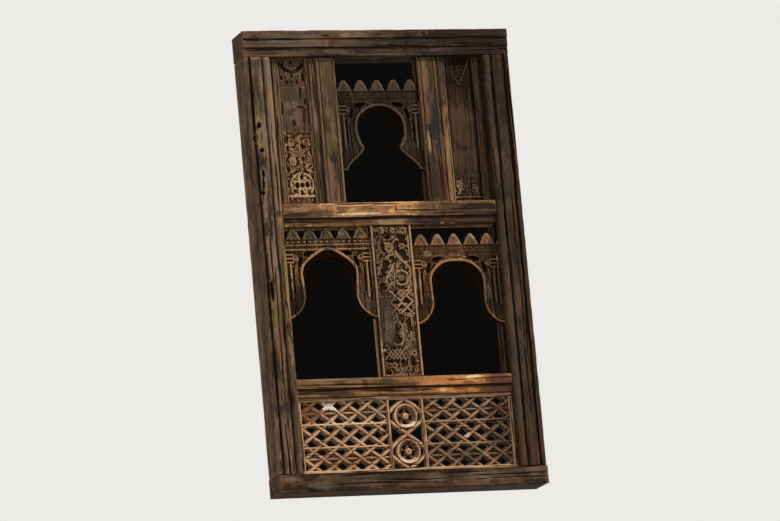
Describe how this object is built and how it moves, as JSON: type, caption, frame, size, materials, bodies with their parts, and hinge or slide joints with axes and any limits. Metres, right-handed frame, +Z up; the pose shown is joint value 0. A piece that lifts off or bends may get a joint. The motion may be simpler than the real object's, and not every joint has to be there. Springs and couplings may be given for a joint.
{
  "type": "carved timber window screen",
  "caption": "Two-tier carved timber window frame with crested arch boards in its lights, carved side panels and a pierced strapwork apron.",
  "frame": {"origin": "centre of the sill's underside", "axes": "+X along the window to the right seen from the street, +Y from the front face to the back, +Z up"},
  "size_m": [0.96, 0.126, 1.6],
  "materials": {
    "sill_wood": "weathered, bare",
    "head_wood": "weathered, bare",
    "jamb_wood": "weathered, bare",
    "rail_wood": "weathered, bare",
    "carved_wood": "weathered, carved",
    "stile_wood": "weathered, bare",
    "board_wood": "weathered, carved",
    "lattice_wood": "weathered, carved"
  },
  "bodies": {
    "root": {"sill": "sill_wood", "head_beam": "head_wood", "left_jamb": "jamb_wood", "right_jamb": "jamb_wood", "midrail": "rail_wood", "lower_rail": "rail_wood", "centre_mullion": "carved_wood", "upper_left_stile": "stile_wood", "upper_right_stile": "stile_wood", "upper_left_panel": "carved_wood", "upper_right_panel": "carved_wood", "upper_left_outer_batten": "stile_wood", "upper_left_inner_batten": "stile_wood", "upper_right_inner_batten": "stile_wood", "upper_right_outer_batten": "stile_wood", "upper_arch_board": "board_wood", "lower_left_arch_board": "board_wood", "lower_right_arch_board": "board_wood", "apron_left_lattice": "lattice_wood", "apron_centre_lattice": "lattice_wood", "apron_right_lattice": "lattice_wood", "apron_top_strip": "lattice_wood", "apron_bottom_strip": "lattice_wood", "apron_left_strip": "lattice_wood", "apron_right_strip": "lattice_wood", "apron_left_divider": "lattice_wood", "apron_right_divider": "lattice_wood"}
  },
  "joints": []
}
